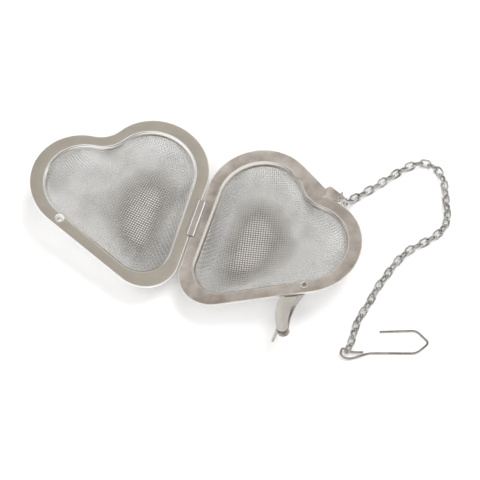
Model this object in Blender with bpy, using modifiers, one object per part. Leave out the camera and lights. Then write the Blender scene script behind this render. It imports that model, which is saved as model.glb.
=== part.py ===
"""Heart-shaped mesh tea infuser, open, with its latch, chain and cup hook.

Two heart-shaped sheet frames, each holding a domed mesh basket, are joined along one straight side
by a flattened sheet loop that passes through a slot in each frame. The base frame carries a U-shaped
latch on a rivet and an ear for the chain, and the chain ends in a bent wire hook.

Lengths below are in millimetres and angles in degrees. The model is built in metres, +Z up. The
origin is where the base basket rests, +Y runs along the hinge and +X from the hinge over the base.
"""
import math

import bmesh
import bpy
from mathutils import Matrix, Vector

MM = 0.001

# Heart outlines: lobe radius, lobe centre across, tip radius, lobe centre along, cleft radius, lift
OUTER_HEART = (19.0, 13.0, 12.4, 31.0, 10.7, 0.0)
INNER_HEART = (14.3, 11.9, 9.6, 26.5, 13.0, 4.0)

# Frame section
FRAME_THICK = 1.0
FRAME_ROUND = 0.25
COLLAR_WALL = 0.45
COLLAR_DEPTH = 1.3

# Baskets
BASKET_DEPTH = 13.0
BASKET_WALL = 0.5
BASKET_RIM_DROP = 1.6
BASKET_TUCK = 0.15
BASKET_CENTRE = (0.0, 27.0)
BASKET_POWER = 2.4
BASKET_RINGS = 9

# Hinge: a bar is the strip of frame between its slot and its outer edge
HINGE_GAP = 0.4
BAR_WIDTH = 0.9
BAR_THICK = 0.52
SLOT_WIDTH = 1.1
SLOT_LENGTH = 15.2
SLOT_MIDDLE = 19.5
BAND_LENGTH = 14.2
BAND_INNER_R = 0.6
BAND_SHEET = 0.28
HINGE_X = -21.2
HINGE_Y = -0.9
HINGE_HEIGHT = 9.6
REST_TILT = 8.0

# Latch, drawn closed round the lobe and then turned open about its rivet. The tail's ends are given by
# their radius and angle about the lobe and their own radius
RIVET_FROM_LOBE = 16.22
RIVET_ANGLE = -43.0
RIVET_SHANK_R = 0.72
RIVET_HOLE_R = 1.0
RIVET_HEAD_R = 1.35
RIVET_HEAD_TOP = 1.0
RIVET_FOOT = -1.95
RIVET_BULGE = 0.75
RIVET_BULGE_WIDTH = 2.2
LATCH_SHEET = 0.35
LATCH_OUTER_R = 19.5
LATCH_WEB_START = -13.0
LATCH_END = 21.5
LATCH_INNER_R = (13.95, 15.6)
LATCH_BOSS_R = 1.75
LATCH_LOW = -1.2
LATCH_HIGH = 2.6
LATCH_OPEN = 139.0
TAIL_ROOT = (18.8, 16.0, 0.6)
TAIL_TIP = (21.9, 28.5, 0.4)
DIMPLE_MOUTH_R = 1.9
DIMPLE_DEPTH = 0.62

# Ear at the cleft, a sheet tab round three discs: centre across, centre along, radius. Beside it the
# flange fills the cleft
EAR_DISCS = ((1.0, 46.8, 1.6), (1.6, 50.7, 1.1), (6.7, 50.8, 1.5))
FILL_DISCS = ((-11.6, 47.6, 2.3), (0.2, 47.6, 2.0))
FILL_SHEET = 0.9
EAR_SHEET = 0.6
EAR_HOLE = (6.9, 50.9, 0.95)
EAR_EYELET = (1.3, 47.2, 0.6)

# Chain
LINK_WIRE = 0.72
LINK_PITCH = 2.95
LINK_PLAY = 0.25
LINK_WIDTH = 3.3
LINK_LEAN = 45.0
LINK_COUNT = 47
TWIST_LINKS = 6
EAR_MARGIN = (6.12, 52.01)
FIRST_LINK_RISE = 0.45
CHAIN_ROUTE = (
    (25.4, 20.2, 11.0), (25.8, 22.5, 6.0), (26.4, 25.0, 2.0), (28.3, 27.6, 1.27), (30.5, 30.0, 1.27),
    (34.5, 34.8, 1.27), (38.5, 40.0, 1.27), (42.6, 45.0, 1.27), (47.5, 48.4, 1.27), (53.0, 47.4, 1.27),
    (56.8, 42.8, 1.27), (58.8, 37.3, 1.27), (61.0, 31.5, 1.27), (61.7, 27.4, 1.27), (60.3, 22.7, 1.27),
    (56.3, 17.7, 1.27), (52.3, 13.5, 1.27), (49.3, 8.0, 1.27), (47.2, 1.4, 1.27), (45.5, -3.7, 1.27),
    (44.9, -7.4, 1.27), (43.8, -12.6, 1.27), (42.4, -18.5, 1.27), (42.5, -25.0, 1.27), (42.3, -28.6, 1.27),
    (41.7, -33.2, 1.27),
)

# Hook, as its wire runs from the free end round the tip and back round the eye, from the eye's far side
HOOK_WIRE_R = 0.4
HOOK_BEND_R = 1.6
HOOK_BACK = (-0.05, -0.46)
HOOK_ROUTE = (
    (8.5, 10.4, 0.42), (20.4, 14.5, 0.42), (25.9, 11.3, 0.42), (22.7, 6.2, 0.42), (14.7, 3.8, 0.42),
    (6.9, 1.4, 0.42), (4.1, -0.9, 0.5), (1.5, -2.7, 0.9), (-0.7, -3.0, 1.2), (-2.1, -1.9, 1.5),
    (-2.0, 0.1, 1.7), (-1.2, 0.17, 1.45), (1.3, -0.17, 1.1), (3.2, 0.3, 1.15), (5.3, 0.9, 1.25),
)


# ---------------------------------------------------------------- outlines

def side_angle(heart):
    """Direction, in radians, that the heart's right straight side faces."""
    lobe_r, lobe_x, tip_r, length = heart[:4]
    reach = math.hypot(lobe_x, length)
    return math.atan2(length, lobe_x) - math.acos((tip_r - lobe_r) / reach)


def spread(start, stop, count):
    """Evenly spaced values from start to stop, both included."""
    return [start + (stop - start) * i / count for i in range(count + 1)]


def half_outline(heart):
    """Right half of a heart from the tip to the cleft, with close points near the rivet."""
    lobe_r, lobe_x, tip_r, length, cleft_r, lift = heart
    face = side_angle(heart)
    rise = math.sqrt((lobe_r + cleft_r) ** 2 - lobe_x ** 2)
    lean = math.atan2(-rise, lobe_x)
    along = Vector((-math.sin(face), math.cos(face)))
    foot = Vector((lobe_x, length)) + lobe_r * Vector((math.cos(face), math.sin(face)))
    points = [Vector((tip_r * math.cos(a), tip_r * math.sin(a))) for a in spread(-math.pi / 2, face, 5)]
    points += [foot - along * d for d in (6.6, 5.5, 4.4, 3.3, 2.2, 1.1)]
    fine = math.radians(16)
    angles = spread(face, face + fine, 4) + spread(face + fine, math.pi + lean, 11)[1:]
    points += [Vector((lobe_x + lobe_r * math.cos(a), length + lobe_r * math.sin(a))) for a in angles]
    points += [Vector((cleft_r * math.cos(a), length + rise + cleft_r * math.sin(a)))
               for a in spread(lean, -math.pi / 2, 3)[1:]]
    return [p + Vector((0, lift)) for p in points]


def heart_outline(heart):
    """Closed counter-clockwise outline of a heart whose tip circle is centred on the origin."""
    right = half_outline(heart)
    left = [Vector((-p.x, p.y)) for p in reversed(right[1:-1])]
    return right + left


def grown(outline, distance):
    """Outline moved outwards by distance along its own normals."""
    moved = []
    count = len(outline)
    for i, point in enumerate(outline):
        run = (outline[(i + 1) % count] - outline[i - 1]).normalized()
        moved.append(point + distance * Vector((run.y, -run.x)))
    return moved


def lobe_point(radius, angle):
    """Point at a radius and an angle in degrees about the outer heart's right lobe."""
    turn = math.radians(angle)
    return Vector((OUTER_HEART[1] + radius * math.cos(turn), OUTER_HEART[3] + radius * math.sin(turn)))


RIVET = lobe_point(RIVET_FROM_LOBE, RIVET_ANGLE)


def opening_outline():
    """Inner edge of the frame, which bulges inwards at the rivet."""
    bulged = []
    inward = (Vector((BASKET_CENTRE[0], BASKET_CENTRE[1])) - RIVET).normalized()
    for point in heart_outline(INNER_HEART):
        off = (point - RIVET).length
        near = math.sqrt(max(off ** 2 - 2.0 ** 2, 0.0))
        bulged.append(point + inward * RIVET_BULGE * math.exp(-(near / RIVET_BULGE_WIDTH) ** 2))
    return bulged


def round_outline(centre, radius, sides):
    """Points of a circle."""
    return [Vector(centre[:2]) + radius * Vector((math.cos(a), math.sin(a)))
            for a in spread(0.0, 2 * math.pi, sides)[:-1]]


def hull_outline(discs, sides):
    """Convex outline round several discs."""
    points = []
    for turn in spread(0.0, 2 * math.pi, sides)[:-1]:
        way = Vector((math.cos(turn), math.sin(turn)))
        disc = max(discs, key=lambda d: way.dot(Vector(d[:2])) + d[2])
        points.append(Vector(disc[:2]) + way * disc[2])
    return points


# ---------------------------------------------------------------- placing

SIDE = side_angle(OUTER_HEART)
TO_BAR = Matrix.Translation((OUTER_HEART[2] - BAR_WIDTH / 2, -SLOT_MIDDLE, 0)) @ Matrix.Rotation(SIDE, 4, "Z")
BAR_OFFSET = (HINGE_GAP + BAR_WIDTH) / 2
HINGE = Vector((HINGE_X, HINGE_Y, HINGE_HEIGHT))


def half_matrix(side):
    """Place of a half's bar: side is 1 for the base and -1 for the lid."""
    shift = HINGE + Vector((side * BAR_OFFSET, 0, 0))
    return Matrix.Translation(shift * MM) @ Matrix.Rotation(-side * math.radians(REST_TILT), 4, "Y")


def bar_point(point, height, side):
    """A point of the heart, in the half's own frame in metres."""
    spot = TO_BAR @ Vector((point[0], point[1], height))
    return Vector((side * spot.x, spot.y, spot.z)) * MM


# ---------------------------------------------------------------- making objects

def material(name, colour, roughness):
    """Metal with the given colour and roughness."""
    made = bpy.data.materials.new(name)
    made.use_nodes = True
    shader = made.node_tree.nodes["Principled BSDF"]
    shader.inputs["Base Color"].default_value = (*colour, 1.0)
    shader.inputs["Metallic"].default_value = 1.0
    shader.inputs["Roughness"].default_value = roughness
    return made


def collection(name):
    """New collection in the scene."""
    made = bpy.data.collections.new(name)
    bpy.context.scene.collection.children.link(made)
    return made


def add_object(name, data, group, finish=None, matrix=None):
    """Object for a mesh or curve, in its collection, with its material and place."""
    made = bpy.data.objects.new(name, data)
    if finish and not data.materials:
        data.materials.append(finish)
    if matrix:
        made.matrix_world = matrix
    group.objects.link(made)
    return made


def mesh_from(name, shape, smooth=35.0):
    """Mesh datablock from a bmesh, with outward faces and smooth round surfaces."""
    bmesh.ops.recalc_face_normals(shape, faces=shape.faces)
    data = bpy.data.meshes.new(name)
    shape.to_mesh(data)
    shape.free()
    data.shade_smooth()
    data.set_sharp_from_angle(angle=math.radians(smooth))
    return data


def loft(rings, closed):
    """Bmesh skin through rings of equal point counts; closed joins the last ring to the first."""
    shape = bmesh.new()
    loops = [[shape.verts.new(p) for p in ring] for ring in rings]
    pairs = list(zip(loops, loops[1:] + ([loops[0]] if closed else [])))
    if not closed:
        pairs = pairs[:len(loops) - 1]
    for lower, upper in pairs:
        for i in range(len(lower)):
            shape.faces.new((lower[i - 1], lower[i], upper[i], upper[i - 1]))
    return shape


def plate(name, outline, low, high, side=1):
    """Closed flat plate between two heights, from an outline on the heart."""
    shape = bmesh.new()
    bottom = shape.faces.new([shape.verts.new(bar_point(p, low, side)) for p in outline])
    top = bmesh.ops.extrude_face_region(shape, geom=[bottom])
    lift = Vector((0, 0, (high - low) * MM))
    moved = [v for v in top["geom"] if isinstance(v, bmesh.types.BMVert)]
    bmesh.ops.translate(shape, verts=moved, vec=lift)
    return mesh_from(name, shape)


def add_boolean(target, tool, operation):
    """Cut a tool from a piece or join it on, with the exact solver."""
    made = target.modifiers.new(f"{operation.lower()}_{tool.name}", "BOOLEAN")
    made.operation = operation
    made.object = tool
    made.solver = "EXACT"


def hide_tool(tool):
    """Mark an object as a cutter or a joining tool."""
    tool.hide_render = True
    tool.display_type = "WIRE"
    return tool


def set_axis_matrix(origin, along, lateral):
    """Matrix whose X runs along and whose Y is the lateral direction made square to it."""
    x = along.normalized()
    y = (lateral - x * lateral.dot(x)).normalized()
    z = x.cross(y)
    turn = Matrix((x, y, z)).transposed().to_4x4()
    return Matrix.Translation(origin) @ turn


# ---------------------------------------------------------------- sub-parts

def frame_rings(side):
    """Section rings of a frame: rounded outer edge, flat flange and inner collar."""
    outer = heart_outline(OUTER_HEART)
    inner = opening_outline()
    half = FRAME_THICK / 2
    section = (
        (outer, -FRAME_ROUND, half), (outer, 0.0, half - FRAME_ROUND), (outer, 0.0, FRAME_ROUND - half),
        (outer, -FRAME_ROUND, -half), (inner, COLLAR_WALL, -half), (inner, COLLAR_WALL, -COLLAR_DEPTH),
        (inner, 0.0, -COLLAR_DEPTH), (inner, 0.0, half - FRAME_ROUND), (inner, FRAME_ROUND, half),
    )
    return [[bar_point(p, height, side) for p in grown(line, shift)] for line, shift, height in section]


def box_tool(name, corner, opposite, side, tools):
    """Box between two corners in a half's own frame, as a hidden tool."""
    bpy.ops.mesh.primitive_cube_add(size=1)
    tool = bpy.context.object
    tool.name = name
    low, high = Vector(corner) * MM, Vector(opposite) * MM
    size = Matrix.Diagonal((*(high - low), 1))
    middle = (low + high) / 2
    tool.data.transform(Matrix.Translation((side * middle.x, middle.y, middle.z)) @ size)
    tool.matrix_world = half_matrix(side)
    move_to(tool, tools)
    return hide_tool(tool)


def make_frame(name, side, group, tools, finish):
    """Heart-shaped sheet frame with its hinge slot and the thinned bar that the band wraps."""
    frame = add_object(name, mesh_from(name, loft(frame_rings(side), True)), group, finish, half_matrix(side))
    near, far = BAR_WIDTH / 2, BAR_WIDTH / 2 + SLOT_WIDTH
    reach, deep = SLOT_LENGTH / 2, 2 * FRAME_THICK
    slot = box_tool(f"{name}_slot", (near, -reach, -deep), (far, reach, deep), side, tools)
    add_boolean(frame, slot, "DIFFERENCE")
    wrap = BAND_LENGTH / 2 + 0.3
    for face, low, high in (("over", BAR_THICK / 2, FRAME_THICK), ("under", -FRAME_THICK, -BAR_THICK / 2)):
        corner, opposite = (-near - 0.5, -wrap, low), (near + SLOT_WIDTH / 2, wrap, high)
        step = box_tool(f"{name}_{face}", corner, opposite, side, tools)
        add_boolean(frame, step, "DIFFERENCE")
    return frame


def move_to(piece, group):
    """Put an object made by an operator into one collection only."""
    for old in list(piece.users_collection):
        old.objects.unlink(piece)
    group.objects.link(piece)


def punch(frame, name, centre, radius, side, tools):
    """Cut a round hole through a frame."""
    tool = plate(name, round_outline(centre, radius, 16), -3 * FRAME_THICK, 3 * FRAME_THICK, side)
    add_boolean(frame, hide_tool(add_object(name, tool, tools, None, half_matrix(side))), "DIFFERENCE")


def make_ear(frame, tools):
    """Tab at the base's cleft and the fill beside it, joined to the frame, with the tab's two holes."""
    for name, discs, sheet in (("ear_tab", EAR_DISCS, EAR_SHEET), ("cleft_fill", FILL_DISCS, FILL_SHEET)):
        tab = plate(name, hull_outline(discs, 32), -sheet / 2, sheet / 2)
        add_boolean(frame, hide_tool(add_object(name, tab, tools, None, half_matrix(1))), "UNION")
    punch(frame, "ear_hole", EAR_HOLE, EAR_HOLE[2], 1, tools)
    punch(frame, "ear_eyelet_hole", EAR_EYELET, EAR_EYELET[2], 1, tools)


def make_dimple(frame, tools):
    """Round dimple in the lid's face that clears the rivet's head when the infuser is shut."""
    ball = (DIMPLE_MOUTH_R ** 2 + DIMPLE_DEPTH ** 2) / (2 * DIMPLE_DEPTH)
    shape = bmesh.new()
    bmesh.ops.create_uvsphere(shape, u_segments=20, v_segments=14, radius=ball * MM)
    lift = FRAME_THICK / 2 - DIMPLE_DEPTH + ball
    bmesh.ops.translate(shape, verts=shape.verts, vec=bar_point(RIVET, lift, -1))
    tool = add_object("dimple_ball", mesh_from("dimple_ball", shape), tools, None, half_matrix(-1))
    add_boolean(frame, hide_tool(tool), "DIFFERENCE")


def basket_rings(side):
    """Rings of a dome from its rim to near its lowest point."""
    centre = Vector(BASKET_CENTRE)
    rim = grown(opening_outline(), BASKET_TUCK)
    rings = []
    for turn in spread(0.0, math.radians(84), BASKET_RINGS - 1):
        reach = math.cos(turn) ** (2 / BASKET_POWER)
        drop = math.sin(turn) ** (2 / BASKET_POWER) / math.sin(math.radians(84)) ** (2 / BASKET_POWER)
        height = -BASKET_RIM_DROP - (BASKET_DEPTH - BASKET_RIM_DROP) * drop
        rings.append([bar_point(centre + (p - centre) * reach, height, side) for p in rim])
    return rings


def make_basket(name, side, group, tools, finish):
    """Domed mesh basket as a closed shell, worn flat where it stands."""
    shape = loft(basket_rings(side), False)
    count = len(opening_outline())
    shape.verts.ensure_lookup_table()
    shape.faces.new([shape.verts[i] for i in range((BASKET_RINGS - 1) * count, BASKET_RINGS * count)])
    data = mesh_from(name, shape)
    if data.polygons[-1].normal.z > 0:
        data.flip_normals()
    basket = add_object(name, data, group, finish, half_matrix(side))
    wall = basket.modifiers.new("wall", "SOLIDIFY")
    wall.thickness = BASKET_WALL * MM
    wall.offset = -1.0
    bpy.ops.mesh.primitive_cube_add(size=1)
    ground = bpy.context.object
    ground.name = f"{name}_ground"
    middle = half_matrix(side) @ bar_point(BASKET_CENTRE, 0, side)
    ground.data.transform(Matrix.Diagonal((40 * MM, 40 * MM, 10 * MM, 1)))
    ground.location = (middle.x, middle.y, -5 * MM)
    move_to(ground, tools)
    add_boolean(basket, hide_tool(ground), "DIFFERENCE")
    return basket


def make_band(group, finish):
    """Flattened sheet loop round both hinge bars, as a flat ring outline given length."""
    ends = []
    for radius in (BAND_INNER_R + BAND_SHEET, BAND_INNER_R):
        right = [(BAR_OFFSET + radius * math.cos(a), radius * math.sin(a))
                 for a in spread(-math.pi / 2, math.pi / 2, 8)]
        left = [(-x, y) for x, y in reversed(right)]
        ends.append(right + left)
    curve = bpy.data.curves.new("hinge_band", "CURVE")
    curve.dimensions = "2D"
    curve.fill_mode = "BOTH"
    curve.extrude = BAND_LENGTH / 2 * MM
    for loop in ends:
        spline = curve.splines.new("POLY")
        spline.points.add(len(loop) - 1)
        spline.use_cyclic_u = True
        for point, (x, y) in zip(spline.points, loop):
            point.co = ((x - BAR_OFFSET) * MM, y * MM, 0, 1)
    place = Matrix.Translation((HINGE + Vector((BAR_OFFSET, 0, 0))) * MM)
    return add_object("hinge_band", curve, group, finish, place @ Matrix.Rotation(math.pi / 2, 4, "X"))


def latch_outline(start, inner_start):
    """Crescent round the lobe between the latch's outer radius and its inner edge, round at its end."""
    outer = [lobe_point(LATCH_OUTER_R, a) for a in spread(start, LATCH_END, 8)]
    middle, reach = lobe_point(LATCH_OUTER_R - 2.1, LATCH_END), 2.1
    first = math.radians(LATCH_END)
    cap = [middle + reach * Vector((math.cos(first + a), math.sin(first + a))) for a in spread(0, math.pi, 8)]
    near, far = LATCH_INNER_R
    angles = spread(inner_start, LATCH_END, 8)
    inner = [lobe_point(near + (far - near) * (i / 8) ** 2, a) for i, a in enumerate(angles)]
    return outer + cap[1:-1] + inner[::-1]


def latch_foot_outline():
    """Lower leg: the crescent drawn out under the frame to its round boss at the rivet."""
    body = latch_outline(LATCH_WEB_START, -24.0)
    away = math.radians(RIVET_ANGLE)
    boss = [RIVET + LATCH_BOSS_R * Vector((math.cos(away + a), math.sin(away + a)))
            for a in spread(-math.pi, math.radians(20), 9)]
    neck = [lobe_point(18.6, -30.0), lobe_point(19.4, -22.0)]
    return body + boss + neck


def tail_outline():
    """Thin tail that leaves the latch's back and flares outwards."""
    return hull_outline([(*lobe_point(*end[:2]), end[2]) for end in (TAIL_ROOT, TAIL_TIP)], 16)


def ring_sector(inner_r, outer_r, start, stop, steps):
    """Outline of part of a ring round the lobe."""
    outer = [lobe_point(outer_r, a) for a in spread(start, stop, steps)]
    inner = [lobe_point(inner_r, a) for a in spread(start, stop, steps)]
    return outer + inner[::-1]


def make_latch(group, tools, finish):
    """U-shaped latch: two crescent legs, the web that joins them, and a thin tail to push."""
    web = ring_sector(LATCH_OUTER_R - LATCH_SHEET, LATCH_OUTER_R, LATCH_WEB_START, LATCH_END, 8)
    pieces = (
        ("latch", latch_foot_outline(), LATCH_LOW, LATCH_LOW + LATCH_SHEET),
        ("latch_web", web, LATCH_LOW, LATCH_HIGH),
        ("latch_top", latch_outline(LATCH_WEB_START, -22.0), LATCH_HIGH - LATCH_SHEET, LATCH_HIGH),
        ("latch_tail", tail_outline(), LATCH_LOW + 0.03, LATCH_LOW + LATCH_SHEET - 0.03),
        ("latch_hole", round_outline(RIVET, RIVET_HOLE_R, 16), LATCH_LOW - 1, LATCH_LOW + 1),
    )
    pivot = bar_point(RIVET, 0, 1)
    opened = Matrix.Rotation(-math.radians(LATCH_OPEN), 4, "Z") @ Matrix.Translation(-pivot)
    place = half_matrix(1) @ Matrix.Translation(pivot)
    latch = None
    for name, outline, low, high in pieces:
        data = plate(name, outline, low, high)
        data.transform(opened)
        if latch is None:
            latch = add_object(name, data, group, finish, place)
        else:
            tool = hide_tool(add_object(name, data, tools, None, place))
            add_boolean(latch, tool, "DIFFERENCE" if name == "latch_hole" else "UNION")
    return latch


def make_rivet(group, finish):
    """Tubular rivet through the base frame and the latch, turned from a profile."""
    dish = 0.62
    profile = (
        (0.0, RIVET_HEAD_TOP - 0.3), (dish * 0.6, RIVET_HEAD_TOP - 0.3), (dish, RIVET_HEAD_TOP),
        (RIVET_HEAD_R - 0.15, RIVET_HEAD_TOP), (RIVET_HEAD_R, RIVET_HEAD_TOP - 0.15),
        (RIVET_HEAD_R, 0.62), (RIVET_SHANK_R, 0.62), (RIVET_SHANK_R, LATCH_LOW - 0.12),
        (RIVET_HEAD_R, LATCH_LOW - 0.12), (RIVET_HEAD_R, RIVET_FOOT + 0.2),
        (RIVET_HEAD_R - 0.2, RIVET_FOOT), (0.0, RIVET_FOOT),
    )
    data = bpy.data.meshes.new("latch_rivet")
    edges = [(i, i + 1) for i in range(len(profile) - 1)]
    data.from_pydata([(r * MM, 0, z * MM) for r, z in profile], edges, [])
    place = half_matrix(1) @ Matrix.Translation(bar_point(RIVET, 0, 1))
    rivet = add_object("latch_rivet", data, group, finish, place)
    turn = rivet.modifiers.new("turned", "SCREW")
    turn.steps = 16
    turn.render_steps = 16
    turn.use_merge_vertices = True
    turn.merge_threshold = 0.00001
    return rivet


def smooth_route(points, per_span):
    """Points of a Catmull-Rom curve through the route."""
    knots = [Vector(p) for p in points]
    knots = [2 * knots[0] - knots[1]] + knots + [2 * knots[-1] - knots[-2]]
    path = []
    for a, b, c, d in zip(knots, knots[1:], knots[2:], knots[3:]):
        for i in range(per_span):
            t = i / per_span
            path.append(0.5 * (2 * b + (c - a) * t + (2 * a - 5 * b + 4 * c - d) * t ** 2
                               + (3 * b - a - 3 * c + d) * t ** 3))
    return path + [knots[-2]]


def chain_joints():
    """Points where the links meet, a pitch apart in a straight line, from the ear's edge on."""
    edge = half_matrix(1) @ bar_point(EAR_MARGIN, 0.0, 1) / MM + Vector((0, 0, FIRST_LINK_RISE))
    hung = edge + Vector((0, 0.01, -LINK_PITCH))
    path = [edge] + smooth_route((tuple(hung),) + CHAIN_ROUTE, 24)
    joints = [path[0]]
    for before, after in zip(path, path[1:]):
        while (after - joints[-1]).length >= LINK_PITCH and len(joints) <= LINK_COUNT:
            low, high = 0.0, 1.0
            for _ in range(30):
                half = (low + high) / 2
                far = (before.lerp(after, half) - joints[-1]).length
                low, high = (low, half) if far > LINK_PITCH else (half, high)
            joints.append(before.lerp(after, high))
    return joints


def link_curve():
    """One oval wire link along X, from the joint it hangs on."""
    end = (LINK_WIDTH - LINK_WIRE) / 2
    straight = (LINK_PITCH + LINK_WIRE + LINK_PLAY) / 2 - end
    right = [(straight + end * math.cos(a), end * math.sin(a)) for a in spread(-math.pi / 2, math.pi / 2, 5)]
    loop = right + [(-x, -y) for x, y in right]
    curve = bpy.data.curves.new("chain_link", "CURVE")
    curve.dimensions = "3D"
    curve.bevel_depth = LINK_WIRE / 2 * MM
    curve.bevel_resolution = 1
    spline = curve.splines.new("POLY")
    spline.points.add(len(loop) - 1)
    spline.use_cyclic_u = True
    for point, (x, y) in zip(spline.points, loop):
        point.co = ((x + LINK_PITCH / 2) * MM, y * MM, 0, 1)
    return curve


def make_chain(group, finish):
    """Links, each turned a quarter from the last, upright at the ear and leaning on the table."""
    joints = chain_joints()
    curve = link_curve()
    for i, (start, stop) in enumerate(zip(joints, joints[1:])):
        along = (stop - start).normalized()
        across = along.cross(Vector((0, 0, 1))).normalized()
        above = across.cross(along)
        roll = math.radians(90 + 90 * i + LINK_LEAN * min(i / TWIST_LINKS, 1.0))
        lateral = across * math.cos(roll) + above * math.sin(roll)
        place = set_axis_matrix(start * MM, along, lateral)
        add_object(f"chain_link_{i + 1:02d}", curve, group, finish, place)
    return joints


def rounded_route(points, radius, steps):
    """Route with each inner corner replaced by a curve that starts at most radius before it."""
    knots = [Vector(p) for p in points]
    path = [knots[0]]
    for before, corner, after in zip(knots, knots[1:], knots[2:]):
        into = before - corner
        out = after - corner
        start = corner + into.normalized() * min(radius, into.length * 0.45)
        stop = corner + out.normalized() * min(radius, out.length * 0.45)
        for t in spread(0.0, 1.0, steps):
            path.append(start.lerp(corner, t).lerp(corner.lerp(stop, t), t))
    return path + [knots[-1]]


def make_hook(joint, group, finish):
    """Bent wire hook whose eye holds the last link, set back half the play from their joint."""
    curve = bpy.data.curves.new("cup_hook", "CURVE")
    curve.dimensions = "3D"
    curve.bevel_depth = HOOK_WIRE_R * MM
    curve.bevel_resolution = 1
    curve.use_fill_caps = True
    route = rounded_route(HOOK_ROUTE, HOOK_BEND_R, 3)
    spline = curve.splines.new("POLY")
    spline.points.add(len(route) - 1)
    for point, spot in zip(spline.points, route):
        point.co = (*((spot + Vector((-HOOK_BACK[0], -HOOK_BACK[1], 0))) * MM), 1)
    place = Matrix.Translation(Vector((joint.x, joint.y, 0)) * MM)
    return add_object("cup_hook", curve, group, finish, place)


def main():
    """Build the infuser."""
    for old in list(bpy.data.objects):
        bpy.data.objects.remove(old)
    group = collection("heart_tea_infuser")
    tools = collection("cutters")
    base_steel = material("base_steel", (0.53, 0.49, 0.46), 0.38)
    lid_steel = material("lid_steel", (0.42, 0.39, 0.34), 0.34)
    mesh_steel = material("mesh_steel", (0.62, 0.62, 0.61), 0.42)
    wire_steel = material("wire_steel", (0.56, 0.54, 0.51), 0.25)
    base_frame = make_frame("base_frame", 1, group, tools, base_steel)
    make_ear(base_frame, tools)
    punch(base_frame, "base_rivet_hole", RIVET, RIVET_HOLE_R, 1, tools)
    lid_frame = make_frame("lid_frame", -1, group, tools, lid_steel)
    make_dimple(lid_frame, tools)
    make_basket("base_mesh", 1, group, tools, mesh_steel)
    make_basket("lid_mesh", -1, group, tools, mesh_steel)
    make_band(group, material("band_steel", (0.45, 0.42, 0.38), 0.3))
    make_latch(group, tools, material("latch_steel", (0.58, 0.54, 0.5), 0.36))
    make_rivet(group, material("rivet_steel", (0.65, 0.64, 0.62), 0.2))
    joints = make_chain(group, wire_steel)
    make_hook(joints[-1], group, material("hook_steel", (0.5, 0.47, 0.43), 0.25))


main()
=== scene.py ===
"""Looks of an open heart-shaped mesh tea infuser with its latch, chain and cup hook.

Two stamped sheet frames hold baskets of woven wire. A flattened sheet loop hinges them, a U-shaped
latch turns on a rivet, and a chain of oval links runs from an ear on the base to a bent wire hook.

Sizes are in millimetres and angles in degrees, and the meshes are made in metres. The origin is
where the base basket rests, +Y runs along the hinge and +X from the hinge across the base half.
"""

import logging
import math
from dataclasses import dataclass, field
from enum import Enum
from typing import Any, Iterable, Sequence

import bmesh
import bpy
import numpy as np
from mathutils import Matrix, Vector

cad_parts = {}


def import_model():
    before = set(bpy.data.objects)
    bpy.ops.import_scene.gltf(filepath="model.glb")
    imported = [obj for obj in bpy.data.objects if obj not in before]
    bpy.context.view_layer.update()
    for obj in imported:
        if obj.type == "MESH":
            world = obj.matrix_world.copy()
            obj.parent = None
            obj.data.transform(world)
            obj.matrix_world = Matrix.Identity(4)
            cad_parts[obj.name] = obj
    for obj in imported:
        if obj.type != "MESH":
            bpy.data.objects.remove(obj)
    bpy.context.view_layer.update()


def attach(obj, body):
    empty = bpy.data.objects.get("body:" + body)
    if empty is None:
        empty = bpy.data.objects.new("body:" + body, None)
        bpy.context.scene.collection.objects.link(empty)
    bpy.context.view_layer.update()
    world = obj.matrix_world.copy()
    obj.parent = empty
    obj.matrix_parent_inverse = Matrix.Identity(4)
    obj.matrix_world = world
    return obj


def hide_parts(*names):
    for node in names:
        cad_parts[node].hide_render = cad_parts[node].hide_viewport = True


LOG = logging.getLogger("tea_infuser")
MM = 0.001
Outline = list[Vector]
Colour = tuple[float, float, float]


class Half(Enum):
    """The two halves of the infuser, by the side of the hinge that they lie on."""

    BASE = 1
    LID = -1


# ---------------------------------------------------------------- shader building


class Value:
    """A number that flows through a material's nodes, usable in Python expressions."""

    def __init__(self, paint: "Paint", socket: bpy.types.NodeSocket) -> None:
        """Wrap an output socket of the given material."""
        self.paint = paint
        self.socket = socket

    def _maths(self, operation: str, first: Any, second: Any) -> "Value":
        """Add a Math node that works on two numbers or values."""
        return self.paint.add("ShaderNodeMath", {"operation": operation}, {0: first, 1: second}, "Value")

    def __add__(self, other: Any) -> "Value":
        """Sum."""
        return self._maths("ADD", self, other)

    __radd__ = __add__

    def __sub__(self, other: Any) -> "Value":
        """Difference."""
        return self._maths("SUBTRACT", self, other)

    def __mul__(self, other: Any) -> "Value":
        """Product."""
        return self._maths("MULTIPLY", self, other)


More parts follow.
